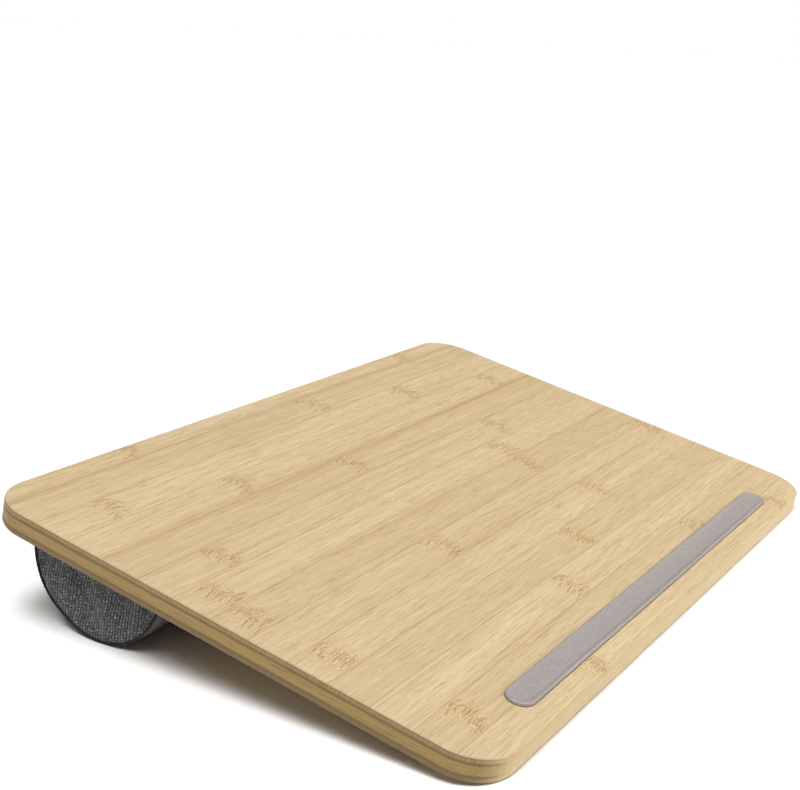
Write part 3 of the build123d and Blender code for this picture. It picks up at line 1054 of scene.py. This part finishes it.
def tape_grid(centre_y, pitch, draw):
    """Jittered places on a tape, kept off its selvedges: (x, y, 1 or -1 by turns)."""
    rows = int((TAPE_HALF_WIDTH - TAPE_SELVEDGE) / pitch)
    columns = int((TAPE_HIGH.x - TAPE_SELVEDGE - 0.7) / pitch)
    for column in range(-columns, columns + 1):
        for row in range(-rows, rows + 1):
            x = (column + draw.uniform(-TAPE_JITTER, TAPE_JITTER)) * pitch
            y = (row + draw.uniform(-TAPE_JITTER, TAPE_JITTER)) * pitch
            yield x, centre_y + y, (row + column) % 2 * 2 - 1


def hook(x, y, z, height, lean):
    """One hook, hanging from a base at height z; lean is 1 or -1, the way it bends over."""
    return tube([(x, y + out * lean, z - share * height) for out, share in HOOK_SHAPE], HOOK_WIRE, 5)


def loop_of_pile(x, y, z, height, turn):
    """One loop of pile: an arch of fine thread standing on the base at height z."""
    path = []
    for i in range(LOOP_STEPS + 1):
        a = pi * i / LOOP_STEPS
        side = cos(a) * LOOP_REACH
        path.append((x + side * cos(turn), y + side * sin(turn), z + height * sin(a)))
    return tube(path, LOOP_WIRE, 4)


def nylon(name, pale, dark):
    s = Surface(name)
    ribs = (s.x * tau / 0.9).sin() * 0.5 + (s.y * tau / 0.7).sin() * 0.5
    fuzz = noise(s.at, 3.0, 0.6, scale=1.8)
    colour = blend(dark, pale, fuzz.fade(0.3, 0.7) * 0.7 + ribs.fade(-0.6, 0.8) * 0.3)
    return s.finished(colour, fuzz * 0.25 + 0.45, ribs * 0.5 + fuzz, 0.08, Sheen_Weight=0.1)


def make_tapes():
    draw = random.Random(7)
    hook_nylon = nylon("hook_tape", (0.05, 0.05, 0.053), (0.016, 0.016, 0.018))
    loop_nylon = nylon("loop_tape", (0.07, 0.071, 0.074), (0.02, 0.02, 0.022))
    for place, side in (("front", -1), ("rear", 1)):
        y = AXIS_Y + side * TAPE_OFFSET
        under = HOOK_HIGH.z - TAPE_BASE
        room = under - HOOK_LOW.z - HOOK_WIRE
        hooks = [rounded_slab(y, under, HOOK_HIGH.z)]
        for hx, hy, lean in tape_grid(y, HOOK_PITCH, draw):
            hooks.append(hook(hx, hy, under + 0.05, room + 0.05, lean))
        piece = new_piece(f"hook_tape_{place}_hooks", *joined(hooks), hook_nylon)
        join_model(piece, "board", "hook_tape", f"hook_tape_{place}")
        base_top = TAPE_LOW.z + TAPE_BASE
        loops = [rounded_slab(y, TAPE_LOW.z, base_top)]
        for lx, ly, _ in tape_grid(y, LOOP_PITCH, draw):
            height = (TAPE_HIGH.z - base_top - LOOP_WIRE) * draw.uniform(0.75, 1.0)
            loops.append(loop_of_pile(lx, ly, base_top, height, draw.uniform(0, pi)))
        piece = new_piece(f"loop_tape_{place}_loops", *joined(loops), loop_nylon)
        join_model(piece, "cushion", "loop_tape", f"loop_tape_{place}")


# ---- zip
SLIDER_LOW, SLIDER_HIGH = level_box("zip_slider")
COIL_END = level_box("zip_coil_upper")[1].x
COIL_FLOOR = RADIUS - 0.85
COIL_TOP = COIL_FLOOR + 1.2
COIL_PITCH = 1.3
COIL_WIRE = 0.24
COIL_HEAD = 0.22
COIL_HEEL = 2.1
COIL_STEPS = 10
COIL_SQUARENESS = 0.7
SLIDER_U = (SLIDER_LOW.x + SLIDER_HIGH.x) / 2
SLIDER_HALF_LENGTH = (SLIDER_HIGH.x - SLIDER_LOW.x) / 2
SLIDER_HALF_WIDTH = 4.0
UPPER_WING = (COIL_TOP + 0.3, COIL_TOP + 1.3)
LOWER_WING = (COIL_FLOOR - 1.9, COIL_FLOOR - 0.9)
FLANGE = 0.7
FLANGE_DEPTH = 1.1
BRIDGE_HALF = 0.16
CROWN_HALF_LENGTH = 3.2
CROWN_HALF_WIDTH = 0.8
CROWN_BAR = 0.9
CROWN_OPENING = 1.7
CROWN_SQUARENESS = 0.55
CROWN_STEPS = 16
PULL_LENGTH = 24.0
PULL_HALF_WIDTH = 2.8
PULL_THICKNESS = 1.0
PULL_PIN = 0.55
PULL_ARM = 1.2
PULL_WINDOW = 5.0
PULL_RIB_V = 1.5
PULL_RIB_HALF = 0.3
METAL_BEVEL = 0.18


def squared(share, power):
    """A sine or cosine pushed towards -1 or 1, which turns a circle into a rounded square."""
    return copysign(abs(share) ** power, share)


def coil(side, offset):
    """One side of the zip: a flattened helix of wire whose turns reach almost to the middle."""
    turns = int((2 * COIL_END - 1.0) / COIL_PITCH)
    middle_v, reach_v = (COIL_HEAD + COIL_HEEL) / 2, (COIL_HEEL - COIL_HEAD) / 2 - COIL_WIRE
    middle_w, reach_w = (COIL_FLOOR + COIL_TOP) / 2, (COIL_TOP - COIL_FLOOR) / 2 - COIL_WIRE
    path = []
    for n in range(turns * COIL_STEPS + 1):
        a = tau * n / COIL_STEPS
        x = (n / COIL_STEPS - turns / 2 + offset) * COIL_PITCH
        v = side * (middle_v + reach_v * squared(cos(a), COIL_SQUARENESS))
        path.append(zip_arc(x, v, middle_w + reach_w * squared(sin(a), COIL_SQUARENESS)))
    return tube(path, COIL_WIRE, 6)


def coil_plastic():
    s = Surface("zip_coil")
    scuff = noise(s.at, 3.0, 0.6, scale=1.2)
    colour = blend((0.022, 0.022, 0.024), (0.06, 0.06, 0.063), scuff.fade(0.35, 0.75))
    return s.finished(colour, scuff * 0.25 + 0.28, scuff, 0.02)


def zip_cloth():
    s = Surface("zip_tape")
    down = s.z * -1.0
    ribs = (s.x * tau / 0.55 + (down * tau / 1.1).sin() * 1.2).sin()
    courses = (down * tau / 0.5).sin()
    fuzz = noise(s.at, 3.0, 0.6, scale=2.5)
    colour = blend((0.018, 0.018, 0.02), (0.062, 0.063, 0.066), ribs.fade(-0.5, 0.9) * 0.6 + fuzz * 0.4)
    relief = ribs * 0.5 + courses * 0.3 + fuzz * 0.5
    return s.finished(colour, fuzz * 0.2 + 0.65, relief, 0.1, Sheen_Weight=0.15)


def plated_metal():
    s = Surface("zip_metal")
    smear = noise((s.x * 0.6, s.y * 2.5, s.z * 2.5), 4.0, 0.65)
    fine = noise(s.at, scale=6.0)
    colour = blend((0.16, 0.16, 0.17), (0.3, 0.3, 0.31), smear.fade(0.3, 0.7))
    return s.finished(colour, smear * 0.25 + fine * 0.1 + 0.18, smear + fine * 0.4, 0.015, Metallic=1.0)


def plate(outline, low, high, bevel, hole=None):
    """Points and faces of a bevelled plate: outline and hole are (u, v) points, low and high are along w."""
    curve = bpy.data.curves.new("plate", "CURVE")
    set_all(curve, dimensions="2D", fill_mode="BOTH", extrude=(high - low) / 2 - bevel)
    set_all(curve, bevel_depth=bevel, bevel_resolution=2, offset=-bevel)
    for ring in filter(None, (outline, hole)):
        spline = curve.splines.new("POLY")
        spline.points.add(len(ring) - 1)
        for point, (u, v) in zip(spline.points, ring):
            point.co = (u, v, 0, 1)
        spline.use_cyclic_u = True
    holder = bpy.data.objects.new("plate", curve)
    mesh = bpy.data.meshes.new_from_object(holder)
    work = bmesh.new()
    work.from_mesh(mesh)
    bmesh.ops.remove_doubles(work, verts=work.verts, dist=1e-4)
    middle = (high + low) / 2
    points = [(v.co.x, v.co.y, v.co.z + middle) for v in work.verts]
    faces = [tuple(v.index for v in f.verts) for f in work.faces]
    work.free()
    bpy.data.batch_remove((holder, curve, mesh))
    return points, faces


def rounded_outline(corners, radius, steps=5):
    """A closed outline through corners, each rounded to a radius."""
    ring = []
    count = len(corners)
    for i in range(count):
        here = Vector(corners[i])
        back = (Vector(corners[i - 1]) - here).normalized()
        on = (Vector(corners[(i + 1) % count]) - here).normalized()
        half = acos(max(-1.0, min(1.0, back.dot(on)))) / 2
        reach = radius / tan(half)
        start, end = here + back * reach, here + on * reach
        for n in range(steps + 1):
            t = n / steps
            ring.append(tuple(start * (1 - t) ** 2 + here * 2 * t * (1 - t) + end * t**2))
    return ring


def zip_piece(name, node, parts, metal):
    """A metal piece that stands for a CAD node, from parts given as (u, v, w) in the zip's flat frame."""
    points, faces = joined(parts)
    piece = new_piece(name, [zip_flat(*p) for p in points], faces, metal)
    crease(piece, 40)
    join_model(piece, node, "zip_metal", node)


def box(u_low, u_high, v_low, v_high):
    """The corners of a rectangle."""
    return [(u_low, v_low), (u_low, v_high), (u_high, v_high), (u_high, v_low)]


def crown():
    """The slider's arch that holds the pull: a flat bar bent along a squared half circle."""
    half_bar = CROWN_BAR / 2
    section = rounded_outline(box(-CROWN_HALF_WIDTH, CROWN_HALF_WIDTH, -half_bar, half_bar), 0.25, 3)
    foot, top = UPPER_WING[1] - 0.35, UPPER_WING[1] + CROWN_OPENING + half_bar
    arch = []
    for n in range(CROWN_STEPS + 1):
        a = pi * n / CROWN_STEPS
        u = SLIDER_U + (CROWN_HALF_LENGTH - half_bar) * squared(cos(a), CROWN_SQUARENESS)
        arch.append(Vector((u, foot + (top - foot) * squared(sin(a), CROWN_SQUARENESS))))
    rings = []
    for n, (u, w) in enumerate(arch):
        ahead = (arch[min(n + 1, CROWN_STEPS)] - arch[max(n - 1, 0)]).normalized()
        rings.append([(u - ahead.y * t, v, w + ahead.x * t) for v, t in section])
    return capped_rings(rings)


def make_slider(metal):
    wide = SLIDER_HALF_WIDTH
    mouth, tail = SLIDER_U + SLIDER_HALF_LENGTH, SLIDER_U - SLIDER_HALF_LENGTH
    shoulder = mouth - 1.2
    half_wing = [(SLIDER_U, wide), (shoulder, wide), (mouth, wide * 0.78)]
    wing = [(tail, -wide * 0.72), (tail, wide * 0.72), *half_wing, (mouth - 1.4, 0)]
    wing = rounded_outline(wing + [(u, -v) for u, v in reversed(half_wing)], 0.5)
    bridge = rounded_outline(box(mouth - 4.0, mouth - 1.6, -BRIDGE_HALF, BRIDGE_HALF), 0.08)
    parts = [plate(wing, *UPPER_WING, METAL_BEVEL), plate(wing, *LOWER_WING, METAL_BEVEL)]
    parts.append(plate(bridge, LOWER_WING[1] - 0.3, UPPER_WING[0] + 0.3, 0.02))
    for side in (-1, 1):
        flange = rounded_outline(box(SLIDER_U, shoulder, side * (wide - FLANGE), side * wide), 0.25)
        parts.append(plate(flange, UPPER_WING[0] - FLANGE_DEPTH, UPPER_WING[0] + 0.3, 0.1))
    parts.append(crown())
    zip_piece("zip_slider_cast", "zip_slider", parts, metal)


def make_pull(metal):
    wide, inner = PULL_HALF_WIDTH, PULL_HALF_WIDTH - PULL_ARM
    start, end = SLIDER_U + PULL_PIN, SLIDER_U - PULL_LENGTH
    tip = [(end, -wide * 0.8), (end, wide * 0.8)]
    outline = rounded_outline([*tip, (end + 6, wide), (start, wide), (start, -wide), (end + 6, -wide)], 0.5)
    window = box(SLIDER_U - PULL_WINDOW, start - 2 * PULL_PIN, -inner, inner)
    window = rounded_outline(window[::-1], 0.4)
    middle = UPPER_WING[1] + CROWN_OPENING / 2
    low, high = middle - PULL_THICKNESS / 2, middle + PULL_THICKNESS / 2
    parts = [plate(outline, low, high, METAL_BEVEL, hole=window)]
    for v in (-PULL_RIB_V, PULL_RIB_V):
        rib = box(end + 2.5, SLIDER_U - PULL_WINDOW - 2.5, v - PULL_RIB_HALF, v + PULL_RIB_HALF)
        parts.append(plate(rounded_outline(rib, 0.25), high - 0.05, high + 0.1, 0.04))
    zip_piece("zip_pull_tab", "zip_pull", parts, metal)


def make_zip():
    plastic = coil_plastic()
    for place, side, offset in (("upper", -1, 0.0), ("lower", 1, 0.5)):
        points, faces = coil(side, offset)
        piece = new_piece(f"zip_coil_{place}_wire", points, faces, plastic)
        join_model(piece, "cushion", "zip_coil", f"zip_coil_{place}")
    cloth = zip_cloth()
    metal = plated_metal()
    for node in ("zip_tape_upper", "zip_tape_lower"):
        dress(node, cloth)
    for node in ("zip_stop_open", "zip_stop_closed"):
        dress(node, metal)
    make_slider(metal)
    make_pull(metal)


make_studio()
dress("top_ply", bamboo_face())
dress("core_ply", bamboo_core())
dress("bottom_ply", bamboo_back())
dress("strip_adhesive", adhesive())
make_strip()
sewn_surface = make_cover()
make_foam()
make_piping()
make_stitches(sewn_surface)
make_tapes()
make_zip()
